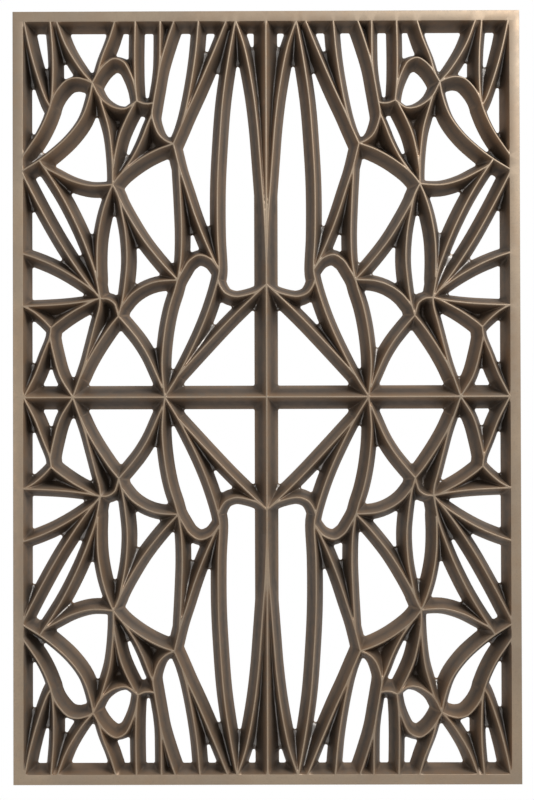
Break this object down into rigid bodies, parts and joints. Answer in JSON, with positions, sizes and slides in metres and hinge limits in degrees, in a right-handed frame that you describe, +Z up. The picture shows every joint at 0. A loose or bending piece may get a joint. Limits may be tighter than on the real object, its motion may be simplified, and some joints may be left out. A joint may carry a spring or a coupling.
{
  "type": "mashrabiya screen panel",
  "caption": "Tall openwork cast-metal facade screen: a flat rectangular frame filled with a mirrored web of branching, sharp-ridged ribs around leaf-shaped openings.",
  "frame": {"origin": "middle of the flat back, on the crossing of the broad upright and level bars", "axes": "+Z up the panel's height, +X to the right seen from the street, +Y out of the flat back towards the building, so the ridged front faces -Y"},
  "size_m": [1, 0.05, 1.524],
  "materials": {
    "coated_casting": "satin metallic bronze-brown coat on cast aluminium, slightly mottled and weathered"
  },
  "bodies": {
    "root": {"screen_panel": "coated_casting"}
  },
  "joints": []
}
